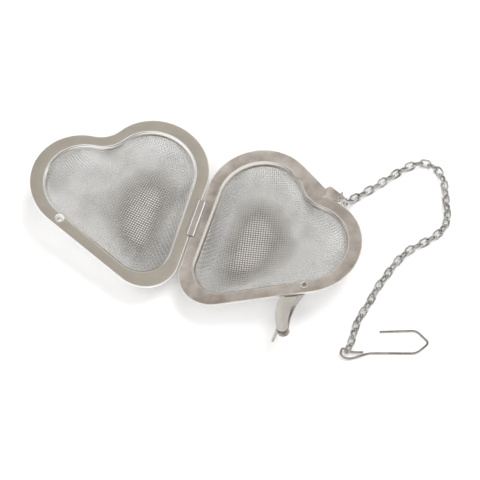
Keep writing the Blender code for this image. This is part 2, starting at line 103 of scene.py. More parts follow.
class Paint:
    """A material under construction."""

    def __init__(self, name: str) -> None:
        """Start a material with a Principled shader."""
        self.material = bpy.data.materials.new(name)
        self.material.use_nodes = True
        self.tree = self.material.node_tree
        self.shader = self.tree.nodes["Principled BSDF"]

    def add(self, kind: str, settings: dict[str, Any], inputs: dict[Any, Any], output: str) -> Value:
        """Add a node.

        Args:
            kind: the node's type.
            settings: attributes set before its sockets are read, or ramp stops under "stops".
            inputs: numbers, colours or values by socket name or number.
            output: name of the output socket to return.

        Returns:
            The output as a value.
        """
        node = self.tree.nodes.new(kind)
        for key, setting in settings.items():
            if key == "stops":
                ramp = node.color_ramp
                while len(ramp.elements) < len(setting):
                    ramp.elements.new(0.5)
                for element, (place, colour) in zip(ramp.elements, setting):
                    element.position = place
                    element.color = (*colour, 1.0)
            else:
                setattr(node, key, setting)
        for key, given in inputs.items():
            self.plug(node.inputs[key], given)
        return Value(self, node.outputs[output])

    def plug(self, socket: bpy.types.NodeSocket, given: Any) -> None:
        """Give a socket a value's link or a plain number or colour."""
        if isinstance(given, Value):
            self.tree.links.new(given.socket, socket)
        else:
            socket.default_value = given

    def set(self, **inputs: Any) -> None:
        """Give the shader's sockets their values, with spaces in names written as underscores."""
        for key, given in inputs.items():
            self.plug(self.shader.inputs[key.replace("_", " ")], given)

    def place(self, scale: Sequence[float], turn: Sequence[float] = (0, 0, 0)) -> Value:
        """Object coordinates, turned and scaled, in pattern units per metre."""
        spot = self.add("ShaderNodeTexCoord", {}, {}, "Object")
        turned = {"Rotation": [math.radians(a) for a in turn], "Scale": tuple(scale)}
        return self.add("ShaderNodeMapping", {}, {"Vector": spot, **turned}, "Vector")

    def height(self, output: str) -> Value:
        """Upward part of the object's coordinates or of its normal."""
        spot = self.add("ShaderNodeTexCoord", {}, {}, output)
        return self.add("ShaderNodeSeparateXYZ", {}, {"Vector": spot}, "Z")

    def noise(self, where: Value, scale: float, detail: float = 2.0, rough: float = 0.5) -> Value:
        """Noise between 0 and 1."""
        inputs = {"Vector": where, "Scale": scale, "Detail": detail, "Roughness": rough}
        return self.add("ShaderNodeTexNoise", {}, inputs, "Fac")

    def ramp(self, value: Value, *stops: tuple[float, Sequence[float]]) -> Value:
        """Colour ramp over a value."""
        return self.add("ShaderNodeValToRGB", {"stops": list(stops)}, {"Fac": value}, "Color")

    def blend(self, amount: Any, first: Any, second: Any, mode: str = "MIX") -> Value:
        """Mix two colours."""
        node = self.tree.nodes.new("ShaderNodeMix")
        node.data_type = "RGBA"
        node.blend_type = mode
        for key, given in ((0, amount), (6, first), (7, second)):
            self.plug(node.inputs[key], given)
        return Value(self, node.outputs[2])

    def grey(self, colour: Value) -> Value:
        """Brightness of a colour as a number."""
        return self.add("ShaderNodeRGBToBW", {}, {"Color": colour}, "Val")

    def bump(self, height: Value, strength: float, distance: float) -> Value:
        """Normal of a bumped surface, with the distance in millimetres."""
        inputs = {"Height": height, "Strength": strength, "Distance": distance * MM}
        return self.add("ShaderNodeBump", {}, inputs, "Normal")


@dataclass(frozen=True)
class SheetSteel:
    """Stamped stainless sheet with fine rolling lines, soft mottling, and painted light where the surface
    turns away from flat: a painted highlight when that colour is pale, painted shade when it is dark.

    Attributes:
        name: the material's name.
        tone: colour of the clean sheet.
        stain: colour of its mottling.
        rough: roughness of the flat sheet.
        mottling: share of the stain at its strongest.
        line_turn: direction of the rolling lines in degrees.
        rolled: colour where the surface turns away from flat.
        burnish: how much smoother the sheet is there.
    """

    name: str
    tone: Colour
    stain: Colour
    rough: float
    # rolled: colour painted where the surface turns away from flat, a painted highlight when pale and painted
    # shade when dark.
    mottling: float
    line_turn: float
    # Pale by default: a painted highlight on the rolled edges.
    rolled: Colour = (0.95, 0.935, 0.91)
    burnish: float = 0.26

    def paint(self) -> bpy.types.Material:
        """Make the material."""
        paint = Paint(self.name)
        plain = paint.place((1, 1, 1))
        lines = paint.noise(paint.place((60, 1500, 1500), (0, 0, self.line_turn)), 1.0, 3.0, 0.6)
        cloud = paint.noise(plain, 170.0, 4.0, 0.6)
        patch = paint.noise(plain, 60.0, 2.0, 0.5)
        speck = paint.noise(plain, 900.0, 3.0, 0.6)
        dirt = paint.ramp(cloud * 0.6 + patch * 0.4, (0.36, (1, 1, 1)), (0.62, (0, 0, 0)))
        pale = tuple(min(1.0, c * 1.12) for c in self.tone)
        body = paint.blend(lines, (*self.tone, 1), (*pale, 1))
        amount = paint.grey(dirt) * self.mottling
        # Mask of the faces that turn away from flat: they take the painted light colour (a highlight when
        # pale, shade when dark) and are burnished smoother.
        edge = paint.grey(paint.ramp(paint.height("Normal"), (0.9, (1, 1, 1)), (0.98, (0, 0, 0))))
        colour = paint.blend(edge, paint.blend(amount, body, (*self.stain, 1)), (*self.rolled, 1))
        rough = self.rough - 0.06 + lines * 0.06 + cloud * 0.08 + speck * 0.04 - edge * self.burnish
        relief = lines * 0.5 + speck * 0.5
        paint.set(Base_Color=colour, Metallic=1.0, Roughness=rough, Normal=paint.bump(relief, 0.25, 0.02))
        return paint.material


@dataclass(frozen=True)
class DrawnWire:
    """Drawn steel wire with faint drawing marks, and painted shade that darkens it where it lies lowest, near
    the table.

    Attributes:
        name: the material's name.
        tone: colour of the bright wire.
        dull: colour of its dull stretches.
        rough: roughness of the wire.
        mark_scale: size of the drawing marks, as marks per metre.
        painted_low_shade: colour of the painted shade at the lowest places, where the basket nears the table,
            or none.
        painted_low_shade_line: heights between which the painted shade fades out.
    """

    name: str
    tone: Colour
    dull: Colour
    rough: float
    mark_scale: float
    painted_low_shade: Colour | None = None
    painted_low_shade_line: tuple[float, float] = (0.25, 2.2)

    def paint(self) -> bpy.types.Material:
        """Make the material."""
        paint = Paint(self.name)
        plain = paint.place((1, 1, 1))
        cloud = paint.noise(plain, self.mark_scale, 3.0, 0.55)
        fine = paint.noise(plain, self.mark_scale * 9, 2.0, 0.5)
        colour = paint.ramp(cloud, (0.34, self.dull), (0.58, self.tone))
        # Painted shade: the wire darkens towards the bottom of the basket, where it comes near the table.
        if self.painted_low_shade:
            low, high = self.painted_low_shade_line
            level = (paint.height("Object") - low * MM) * (1 / ((high - low) * MM))
            shade_tint = paint.ramp(level, (0.0, self.painted_low_shade), (1.0, (1, 1, 1)))
            colour = paint.blend(1.0, colour, shade_tint, "MULTIPLY")
        rough = self.rough + cloud * 0.08 + fine * 0.05
        paint.set(Base_Color=colour, Metallic=1.0, Roughness=rough, Normal=paint.bump(fine, 0.15, 0.01))
        return paint.material


@dataclass(frozen=True)
class TablePaper:
    """Plain pale paper under the infuser."""

    name: str = "table_paper"
    tone: Colour = (0.78, 0.78, 0.78)

    def paint(self) -> bpy.types.Material:
        """Make the material."""
        paint = Paint(self.name)
        paint.set(Base_Color=(*self.tone, 1), Roughness=0.9, Specular_IOR_Level=0.1)
        return paint.material


# ---------------------------------------------------------------- mesh helpers


def steps(start: float, stop: float, count: int) -> list[float]:
    """Evenly spaced numbers from start to stop, both included."""
    return [start + (stop - start) * i / count for i in range(count + 1)]


def finish_piece(
    name: str, shape: bmesh.types.BMesh, paint: bpy.types.Material, body: str, sharp: float = 40.0
) -> bpy.types.Object:
    """Turn a bmesh into a shown piece.

    Args:
        name: the piece's name.
        shape: its shape, in the row frame, freed here.
        paint: its material.
        body: the CAD body that it moves with.
        sharp: edges that turn more than this many degrees stay sharp.

    Returns:
        The new object.
    """
    data = bpy.data.meshes.new(name)
    shape.to_mesh(data)
    shape.free()
    return show_mesh(name, data, paint, body, sharp)


def show_mesh(
    name: str, data: bpy.types.Mesh, paint: bpy.types.Material, body: str, sharp: float = 40.0
) -> bpy.types.Object:
    """Show a mesh as a piece that moves with a body, shaded smooth up to the sharp angle."""
    data.materials.clear()
    data.materials.append(paint)
    data.shade_smooth()
    data.set_sharp_from_angle(angle=math.radians(sharp))
    piece = bpy.data.objects.new(name, data)
    bpy.context.scene.collection.objects.link(piece)
    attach(piece, body)
    LOG.info("%s: %d faces on %s", name, len(data.polygons), body)
    return piece


def baked_mesh(piece: bpy.types.Object) -> bpy.types.Mesh:
    """The mesh of an object with its modifiers and place applied, and the object removed."""
    bpy.context.view_layer.update()
    graph = bpy.context.evaluated_depsgraph_get()
    data = bpy.data.meshes.new_from_object(piece.evaluated_get(graph), depsgraph=graph)
    data.transform(piece.matrix_world)
    bpy.data.objects.remove(piece)
    return data


def loose_object(name: str, shape: bmesh.types.BMesh) -> bpy.types.Object:
    """An object that only serves while a piece is being made."""
    data = bpy.data.meshes.new(name)
    shape.to_mesh(data)
    shape.free()
    made = bpy.data.objects.new(name, data)
    bpy.context.scene.collection.objects.link(made)
    return made


def carve(
    shape: bmesh.types.BMesh, tools: Iterable[tuple[bmesh.types.BMesh, str]], round_off: float = 0.0
) -> bmesh.types.BMesh:
    """Cut or join closed shapes to a closed shape.

    Args:
        shape: the shape to work on, freed here.
        tools: shapes, freed here, each with DIFFERENCE, UNION or INTERSECT.
        round_off: width in millimetres of a bevel on the sharp edges afterwards.

    Returns:
        The new shape.
    """
    work = loose_object("work", shape)
    helpers = []
    for tool, operation in tools:
        helper = loose_object("helper", tool)
        helpers.append(helper)
        cut = work.modifiers.new("cut", "BOOLEAN")
        cut.operation = operation
        cut.object = helper
        cut.solver = "EXACT"
    if round_off:
        bevel = work.modifiers.new("edges", "BEVEL")
        bevel.width = round_off * MM
        bevel.segments = 2
        bevel.limit_method = "ANGLE"
        bevel.angle_limit = math.radians(50)
        bevel.use_clamp_overlap = True
    data = baked_mesh(work)
    for helper in helpers:
        bpy.data.objects.remove(helper)
    made = bmesh.new()
    made.from_mesh(data)
    bpy.data.meshes.remove(data)
    return made


def skin_rings(rings: Sequence[Outline], closed: bool) -> bmesh.types.BMesh:
    """Skin rings of equal counts by extruding the first outline from ring to ring.

    Args:
        rings: outlines in order.
        closed: whether the last ring meets the first, as in a rolled section.

    Returns:
        The skinned shape.
    """
    shape = bmesh.new()
    row = [shape.verts.new(point) for point in rings[0]]
    first = [shape.edges.new((row[i - 1], row[i])) for i in range(len(row))]
    edges = first
    for ring in rings[1:]:
        order = {vert: i for i, vert in enumerate(row)}
        grown = bmesh.ops.extrude_edge_only(shape, edges=edges)["geom"]
        fresh = [item for item in grown if isinstance(item, bmesh.types.BMVert)]
        row = [None] * len(fresh)
        for vert in fresh:
            root = next(e.other_vert(vert) for e in vert.link_edges if e.other_vert(vert) in order)
            row[order[root]] = vert
        for vert, point in zip(row, ring):
            vert.co = point
        edges = [shape.edges.get((row[i - 1], row[i])) for i in range(len(row))]
    if closed:
        bmesh.ops.bridge_loops(shape, edges=first + edges)
    bmesh.ops.recalc_face_normals(shape, faces=shape.faces)
    return shape


def prism(outline: Outline, low: float, high: float) -> bmesh.types.BMesh:
    """Closed plate between two heights, in millimetres, over an outline."""
    shape = bmesh.new()
    face = shape.faces.new([shape.verts.new((p.x, p.y, low)) for p in outline])
    grown = bmesh.ops.extrude_face_region(shape, geom=[face])["geom"]
    lifted = [item for item in grown if isinstance(item, bmesh.types.BMVert)]
    bmesh.ops.translate(shape, verts=lifted, vec=(0, 0, high - low))
    bmesh.ops.recalc_face_normals(shape, faces=shape.faces)
    return shape


def disc_hull(discs: Iterable[tuple[float, float, float]], sides: int = 72) -> Outline:
    """Convex outline round discs given by their centre and radius."""
    line = []
    for turn in steps(0, 2 * math.pi, sides)[:-1]:
        way = Vector((math.cos(turn), math.sin(turn)))
        disc = max(discs, key=lambda d: way.dot(Vector(d[:2])) + d[2])
        line.append(Vector(disc[:2]) + way * disc[2])
    return line


def turned(profile: Sequence[tuple[float, float]], sides: int) -> bmesh.types.BMesh:
    """Turned shape round Z from a profile of radius and height."""
    shape = bmesh.new()
    row = [shape.verts.new((r, 0, z)) for r, z in profile]
    line = [shape.edges.new(pair) for pair in zip(row, row[1:])]
    bmesh.ops.spin(
        shape, geom=row + line, cent=(0, 0, 0), axis=(0, 0, 1), angle=2 * math.pi, steps=sides, use_merge=True
    )
    bmesh.ops.remove_doubles(shape, verts=shape.verts, dist=0.0001)
    bmesh.ops.recalc_face_normals(shape, faces=shape.faces)
    return shape


def wires_mesh(name: str, paths: Sequence[np.ndarray], radius: float, sides: int) -> bpy.types.Mesh:
    """Round wires with capped ends along paths, as one mesh.

    Args:
        name: the mesh's name.
        paths: points in metres, one array for each wire.
        radius: wire radius in millimetres.
        sides: sides of the wire's section, even and at least 4.

    Returns:
        The mesh.
    """
    curve = bpy.data.curves.new(name, "CURVE")
    curve.dimensions = "3D"
    curve.bevel_depth = radius * MM
    curve.bevel_resolution = (sides - 4) // 2
    curve.use_fill_caps = True
    for path in paths:
        spline = curve.splines.new("POLY")
        spline.points.add(len(path) - 1)
        spline.points.foreach_set("co", np.hstack([path, np.ones((len(path), 1))]).ravel())
    holder = bpy.data.objects.new(name, curve)
    bpy.context.scene.collection.objects.link(holder)
    data = baked_mesh(holder)
    bpy.data.curves.remove(curve)
    weld = bmesh.new()
    weld.from_mesh(data)
    bmesh.ops.remove_doubles(weld, verts=weld.verts, dist=1e-7)
    weld.to_mesh(data)
    weld.free()
    return data


# ---------------------------------------------------------------- the heart and its place


def arc(centre: Vector, radius: float, start: float, stop: float, count: int) -> Outline:
    """Points along an arc, with its angles in radians."""
    return [centre + radius * Vector((math.cos(a), math.sin(a))) for a in steps(start, stop, count)]


@dataclass(frozen=True)
class HeartLine:
    """A heart outline whose tip circle is centred on the origin and whose cleft is at +Y."""

    lobe_r: float
    lobe_x: float
    tip_r: float
    length: float
    cleft_r: float
    lift: float

    @property
    def facing(self) -> float:
        """Direction in radians that the right straight side faces."""
        reach = math.hypot(self.lobe_x, self.length)
        return math.atan2(self.length, self.lobe_x) - math.acos((self.tip_r - self.lobe_r) / reach)

    def half(self) -> Outline:
        """The right half, from the tip to the cleft."""
        face = self.facing
        rise = math.sqrt((self.lobe_r + self.cleft_r) ** 2 - self.lobe_x ** 2)
        lean = math.atan2(-rise, self.lobe_x)
        out = Vector((math.cos(face), math.sin(face)))
        tip_end = self.tip_r * out
        foot = Vector((self.lobe_x, self.length)) + self.lobe_r * out
        line = arc(Vector((0, 0)), self.tip_r, -math.pi / 2, face, 26)
        line += [tip_end.lerp(foot, t) for t in steps(0, 1, 34)[1:-1]]
        line += arc(Vector((self.lobe_x, self.length)), self.lobe_r, face, math.pi + lean, 60)
        line += arc(Vector((0, self.length + rise)), self.cleft_r, lean, -math.pi / 2, 14)[1:]
        return [point + Vector((0, self.lift)) for point in line]

    def line(self) -> Outline:
        """The whole outline, counter-clockwise from the tip."""
        right = self.half()
        return right + [Vector((-p.x, p.y)) for p in reversed(right[1:-1])]


def grown(outline: Outline, distance: float) -> Outline:
    """Outline moved outwards along its own normals."""
    count = len(outline)
    moved = []
    for i, point in enumerate(outline):
        run = (outline[(i + 1) % count] - outline[i - 1]).normalized()
        moved.append(point + distance * Vector((run.y, -run.x)))
    return moved


@dataclass(frozen=True)
class Shell:
    """The plan that both halves share: outlines, hinge and places on the heart."""

    outer: HeartLine = HeartLine(19.0, 13.0, 12.4, 31.0, 10.7, 0.0)
    inner: HeartLine = HeartLine(14.3, 11.9, 9.6, 26.5, 13.0, 4.0)
    bar_width: float = 0.9
    hinge_gap: float = 0.4
    slot_middle: float = 19.5
    hinge: tuple[float, float, float] = (-21.2, -0.9, 9.6)
    tilt: float = 8.0
    rivet_reach: float = 16.22
    rivet_turn: float = -43.0
    bulge: float = 0.75
    bulge_width: float = 2.2
    centre: tuple[float, float] = (0.0, 27.0)

    @property
    def bar_offset(self) -> float:
        """Half the distance between the two hinge bars."""
        return (self.hinge_gap + self.bar_width) / 2

    def lobe_point(self, radius: float, turn: float) -> Vector:
        """Point at a radius and an angle about the outer heart's right lobe."""
        angle = math.radians(turn)
        along = self.outer.lobe_x + radius * math.cos(angle)
        return Vector((along, self.outer.length + radius * math.sin(angle)))

    @property
    def rivet(self) -> Vector:
        """The rivet's place on the heart."""
        return self.lobe_point(self.rivet_reach, self.rivet_turn)

    def opening(self) -> Outline:
        """Inner edge of the frame, which bulges inwards at the rivet."""
        inward = (Vector(self.centre) - self.rivet).normalized()
        bulged = []
        for point in self.inner.line():
            near = math.sqrt(max((point - self.rivet).length ** 2 - 4.0, 0.0))
            bulged.append(point + inward * self.bulge * math.exp(-((near / self.bulge_width) ** 2)))
        return bulged

    def place(self, half: Half) -> Matrix:
        """Matrix from heart millimetres to the row frame in metres.

        Args:
            half: which half; the lid is the base's mirror image.

        Returns:
            The matrix, which is a mirroring one for the lid.
        """
        to_bar = Matrix.Translation((self.outer.tip_r - self.bar_width / 2, -self.slot_middle, 0))
        to_bar = to_bar @ Matrix.Rotation(self.outer.facing, 4, "Z")
        rise = Matrix.Translation((self.bar_offset, 0, 0)) @ Matrix.Rotation(-math.radians(self.tilt), 4, "Y")
        side = Matrix.Diagonal((half.value, 1, 1, 1))
        return Matrix.Scale(MM, 4) @ Matrix.Translation(self.hinge) @ side @ rise @ to_bar

    def settle(self, shape: bmesh.types.BMesh, half: Half, before: Matrix | None = None) -> bmesh.types.BMesh:
        """Move a shape from the heart to its place in the row frame, with its faces outwards."""
        matrix = self.place(half) @ (before or Matrix.Identity(4))
        shape.transform(matrix)
        if matrix.determinant() < 0:
            bmesh.ops.reverse_faces(shape, faces=shape.faces)
        return shape


SHELL = Shell()


# ---------------------------------------------------------------- sub-assemblies


@dataclass
class SheetFrame:
    """One half's stamped heart frame: flange, rolled edges and collar, with its hinge slot."""

    half: Half
    thick: float = 1.0
    edge_r: float = 0.42
    lip: tuple[tuple[float, float], ...] = (
        (1.15, 0.0), (1.03, 0.03), (0.93, 0.12), (0.84, 0.25), (0.72, 0.4),
        (0.54, 0.57), (0.36, 0.76), (0.24, 0.98), (0.14, 1.3), (0.06, 1.7),
    )
    crown: float = 0.07
    collar_wall: float = 0.3
    collar_foot: float = -1.75
    slot_width: float = 1.1
    slot_length: float = 15.2
    bar_thick: float = 0.52
    bar_length: float = 14.8
    fill_discs: tuple[tuple[float, float, float], ...] = ((-11.6, 47.6, 2.35), (0.2, 47.6, 2.0))

    @property
    def name(self) -> str:
        """Name of the CAD node that the frame stands for."""
        return "base_frame" if self.half is Half.BASE else "lid_frame"

    def section(self) -> list[tuple[float, float, float]]:
        """Section as blend from inner to outer edge, growth and height, in a closed loop."""
        top = self.thick / 2
        start = self.lip[0][0]
        line = [(0.0, start, top)]
        line += [(t, (1 - t) * start - t * self.edge_r, top + self.crown * math.sin(math.pi * t))
                 for t in steps(0, 1, 8)[1:-1]]
        rise = top - self.edge_r
        for turn in steps(90, 0, 5):
            a = math.radians(turn)
            line.append((1.0, self.edge_r * (math.cos(a) - 1), rise + self.edge_r * math.sin(a)))
        for turn in steps(0, -90, 5):
            a = math.radians(turn)
            line.append((1.0, self.edge_r * (math.cos(a) - 1), -rise + self.edge_r * math.sin(a)))
        line += [(0.5, 0.0, -top), (0.0, self.collar_wall + 0.25, -top), (0.0, self.collar_wall, -top - 0.25)]
        bead = self.collar_wall / 2
        for turn in steps(0, -180, 5):
            a = math.radians(turn)
            line.append((0.0, bead + bead * math.cos(a), self.collar_foot + bead + bead * math.sin(a)))
        line += [(0.0, growth, top - drop) for growth, drop in reversed(self.lip[1:])]
        return line

    def build(self) -> bmesh.types.BMesh:
        """Make the frame on the heart, with its slot cut."""
        inner, outer = SHELL.opening(), SHELL.outer.line()
        rings = []
        for blend, growth, height in self.section():
            flat = [a.lerp(b, blend) for a, b in zip(inner, outer)]
            rings.append([Vector((p.x, p.y, height)) for p in grown(flat, growth)])
        shape = skin_rings(rings, True)
        return carve(shape, [*self.fill(), (self.slot(), "DIFFERENCE"), *self.recesses(), *self.holes()])

    def slot(self) -> bmesh.types.BMesh:
        """Round-ended slot behind the hinge bar."""
        half_width, reach = self.slot_width / 2, self.slot_length / 2
        middle = (SHELL.bar_width + self.slot_width) / 2
        near, far = Vector((middle, half_width - reach)), Vector((middle, reach - half_width))
        line = arc(near, half_width, 0, -math.pi, 6) + arc(far, half_width, math.pi, 0, 6)
        return self.from_bar(prism(line, -3, 3))

    def recesses(self) -> list[tuple[bmesh.types.BMesh, str]]:
        """Steps that thin the hinge bar from both faces where the band wraps it."""
        left, right = -SHELL.bar_width / 2 - 0.5, (SHELL.bar_width + self.slot_width) / 2
        reach, face = self.bar_length / 2, self.bar_thick / 2
        corners = [Vector(p) for p in ((left, -reach), (right, -reach), (right, reach), (left, reach))]
        levels = ((face, 2), (-2, -face))
        return [(self.from_bar(prism(corners, low, high)), "DIFFERENCE") for low, high in levels]

    @staticmethod
    def from_bar(shape: bmesh.types.BMesh) -> bmesh.types.BMesh:
        """Move a shape drawn about the middle of the hinge bar to the heart."""
        back = Matrix.Rotation(-SHELL.outer.facing, 4, "Z")
        shift = Matrix.Translation((SHELL.bar_width / 2 - SHELL.outer.tip_r, SHELL.slot_middle, 0))
        shape.transform(back @ shift)
        return shape

    def fill(self) -> list[tuple[bmesh.types.BMesh, str]]:
        """Sheet that fills the base's cleft beside the ear, flush with the flange."""
        if self.half is Half.LID:
            return []
        return [(carve(prism(disc_hull(self.fill_discs), -0.45, self.thick / 2), [], 0.16), "UNION")]

    def holes(self) -> list[tuple[bmesh.types.BMesh, str]]:
        """Round hole at the rivet, or under the dimple."""
        radius = 1.0 if self.half is Half.BASE else 1.62
        hole = bmesh.new()
        bmesh.ops.create_cone(hole, cap_ends=True, segments=40, radius1=radius, radius2=radius, depth=6)
        bmesh.ops.translate(hole, verts=hole.verts, vec=(*SHELL.rivet, 0))
        return [(hole, "DIFFERENCE")]

    def dress(self, paint: bpy.types.Material) -> None:
        """Show the frame in place of its CAD node."""
        piece = finish_piece(
            f"{self.name}_sheet", SHELL.settle(self.build(), self.half), paint, self.half.name.lower(), 32
        )
        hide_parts(self.name)


@dataclass
class WovenBasket:
    """Domed basket pressed from plain-woven wire cloth, cut on the bias to the heart."""

    half: Half
    pitch: float = 0.86
    wire_r: float = 0.17
    bias: float = 45.0
    rim_drop: float = 1.45
    depth: float = 13.0
    wall: float = 0.25
    power: float = 2.4
    turns: int = 140

    def __post_init__(self) -> None:
        """Work out how far the rim lies from the centre in every direction."""
        rim = np.array([p - Vector(SHELL.centre) for p in grown(SHELL.opening(), 0.12)])
        angle = np.arctan2(rim[:, 1], rim[:, 0])
        order = np.argsort(angle)
        self.rim_angle = angle[order]
        self.rim_reach = np.hypot(rim[:, 0], rim[:, 1])[order]

    def surface(self, cloth: np.ndarray) -> tuple[np.ndarray, np.ndarray]:
        """Fold flat cloth points onto the dome, keeping their distance from its lowest point.

        Args:
            cloth: flat points from the basket's centre, two columns.

        Returns:
            The points on the dome, in heart millimetres, and whether each lies within the rim.
        """
        angle = np.arctan2(cloth[:, 1], cloth[:, 0])
        far = np.hypot(cloth[:, 0], cloth[:, 1])
        reach = np.interp(angle, self.rim_angle, self.rim_reach, period=2 * math.pi)
        turn = np.linspace(math.pi / 2, 0, self.turns)
        out = np.clip(np.cos(turn), 0, 1) ** (2 / self.power)
        down = np.clip(np.sin(turn), 0, 1) ** (2 / self.power)
        drop = self.depth - self.rim_drop - self.wall
        step = np.hypot(np.outer(reach, np.diff(out)), drop * np.diff(down))
        run = np.concatenate([np.zeros((len(far), 1)), np.cumsum(step, axis=1)], axis=1)
        after = np.clip((run < far[:, None]).sum(axis=1), 1, self.turns - 1)
        rows = np.arange(len(far))
        share = (far - run[rows, after - 1]) / np.maximum(run[rows, after] - run[rows, after - 1], 1e-9)
        share = np.clip(share, 0, 1)
        level = out[after - 1] + share * (out[after] - out[after - 1])
        sunk = down[after - 1] + share * (down[after] - down[after - 1])
        radius = reach * level
        across = SHELL.centre[0] + radius * np.cos(angle)
        along = SHELL.centre[1] + radius * np.sin(angle)
        return np.column_stack([across, along, -self.rim_drop - drop * sunk]), far <= run[:, -1]

    def wires(self, along: bool) -> list[np.ndarray]:
        """Paths of one family of wires over and under the other, in the row frame."""
        count = int(44 / self.pitch)
        spin = math.radians(self.bias)
        axes = np.array([[math.cos(spin), math.sin(spin)], [-math.sin(spin), math.cos(spin)]])
        matrix = np.array(SHELL.place(self.half))
        paths = []
        for row in range(-count, count + 1):
            run = np.arange(-2 * count, 2 * count + 1) / 2
            across = np.full_like(run, row)
            grid = np.column_stack([run, across] if along else [across, run])
            cloth = grid * self.pitch @ axes
            spots, inside = self.surface(cloth)
            if inside.sum() < 4:
                continue
            east = self.surface(cloth + [0.05, 0])[0] - self.surface(cloth - [0.05, 0])[0]
            north = self.surface(cloth + [0, 0.05])[0] - self.surface(cloth - [0, 0.05])[0]
            normal = np.cross(east, north)
            normal /= np.maximum(np.linalg.norm(normal, axis=1), 1e-9)[:, None]
            wave = np.cos(math.pi * (run + row)) * np.where(run % 1 == 0, 1, 0)
            lift = wave * self.wire_r * 0.9 * (1 if along else -1)
            spots = spots + normal * lift[:, None]
            world = spots @ matrix[:3, :3].T + matrix[:3, 3]
            world[:, 2] = np.maximum(world[:, 2], (self.wire_r + 0.02) * MM)
            keep = np.flatnonzero(inside)
            for part in np.split(keep, np.flatnonzero(np.diff(keep) > 1) + 1):
                if len(part) > 3:
                    paths.append(world[part])
        return paths

    def dress(self, paint: bpy.types.Material) -> None:
        """Show both families of wires in place of the CAD shell."""
        body = self.half.name.lower()
        for family, along in (("warp", True), ("weft", False)):
            name = f"{body}_mesh_{family}"
            data = wires_mesh(name, self.wires(along), self.wire_r, 6)
            piece = show_mesh(name, data, paint, body, 70)
            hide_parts(f"{body}_mesh")


@dataclass
class LidDimple:
    """Round pressed dimple in the lid's flange."""

    lip_r: float = 1.95
    mouth_r: float = 1.62
    floor_r: float = 0.95
    top: float = 0.57
    depth: float = 0.8

    def dress(self, paint: bpy.types.Material) -> None:
        """Make and show the dimple."""
        lip, foot, top = self.lip_r, self.lip_r - 0.3, self.top
        profile = [(lip, 0.44), (lip - 0.05, top - 0.05), (lip - 0.17, top - 0.01), (self.mouth_r, top)]
        wall = self.mouth_r - self.floor_r
        for turn in steps(15, 75, 4):
            a = math.radians(turn)
            profile.append((self.mouth_r - wall * math.sin(a) ** 2, top - self.depth * (1 - math.cos(a))))
        floor = top - self.depth
        profile += [(self.floor_r - 0.1, floor), (self.floor_r * 0.5, floor + 0.21), (0.0, floor + 0.27)]
        profile += [(0.0, -0.4), (foot, -0.4), (foot, 0.4), (lip, 0.44)]
        shape = turned(profile, 40)
        settle = Matrix.Translation((*SHELL.rivet, 0))
        piece = finish_piece("lid_dimple", SHELL.settle(shape, Half.LID, settle), paint, "lid", 60)


@dataclass
class LatchRivet:
    """Tubular rivet that the latch turns on, with a dished head."""

    shank_r: float = 0.74
    head_r: float = 1.4
    head_top: float = 1.0
    foot: float = -1.93

    def dress(self, paint: bpy.types.Material) -> None:
        """Make and show the rivet in place of its CAD node."""
        top, head, shank, foot = self.head_top, self.head_r, self.shank_r, self.foot
        bore = [(0.0, top - 1.5), (0.5, top - 1.45), (0.62, top - 0.6), (0.74, top - 0.18)]
        upper = [(0.9, top), (head - 0.3, top - 0.02), (head - 0.08, top - 0.14), (head, top - 0.3)]
        lower = [(head, 0.58), (shank, 0.56), (shank, -1.3), (head - 0.05, -1.3), (head - 0.05, foot + 0.25)]
        dish = [(head - 0.3, foot), (0.5, foot), (0.42, foot + 0.3), (0.0, foot + 0.3)]
        shape = turned(bore + upper + lower + dish, 40)
        settle = Matrix.Translation((*SHELL.rivet, 0))
        piece = finish_piece("latch_rivet_head", SHELL.settle(shape, Half.BASE, settle), paint, "base", 50)
        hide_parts("latch_rivet")


@dataclass
class HingeBand:
    """Flattened loop of sheet round both hinge bars."""

    length: float = 14.2
    inner_r: float = 0.6
    sheet: float = 0.28
    edge: float = 0.06

    def dress(self, paint: bpy.types.Material) -> None:
        """Make and show the band in place of its CAD node."""
        inner_r, outer_r, reach, edge = self.inner_r, self.inner_r + self.sheet, self.length / 2, self.edge
        section = (
            (inner_r, -reach), (outer_r - edge, -reach), (outer_r, edge - reach),
            (outer_r, reach - edge), (outer_r - edge, reach), (inner_r, reach),
        )
        shape = skin_rings([self.loop(radius, end) for radius, end in section], True)
        shape.transform(Matrix.Scale(MM, 4) @ Matrix.Translation(SHELL.hinge))
        piece = finish_piece("hinge_band_sheet", shape, paint, "hinge_band", 35)
        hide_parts("hinge_band")

    def loop(self, radius: float, end: float) -> Outline:
        """Stadium round both bars at one end of the band."""
        line = []
        for side in (1, -1):
            for turn in steps(-90, 90, 12):
                a = math.radians(turn)
                reach = SHELL.bar_offset + radius * math.cos(a)
                line.append(Vector((side * reach, end, side * radius * math.sin(a))))
        return line


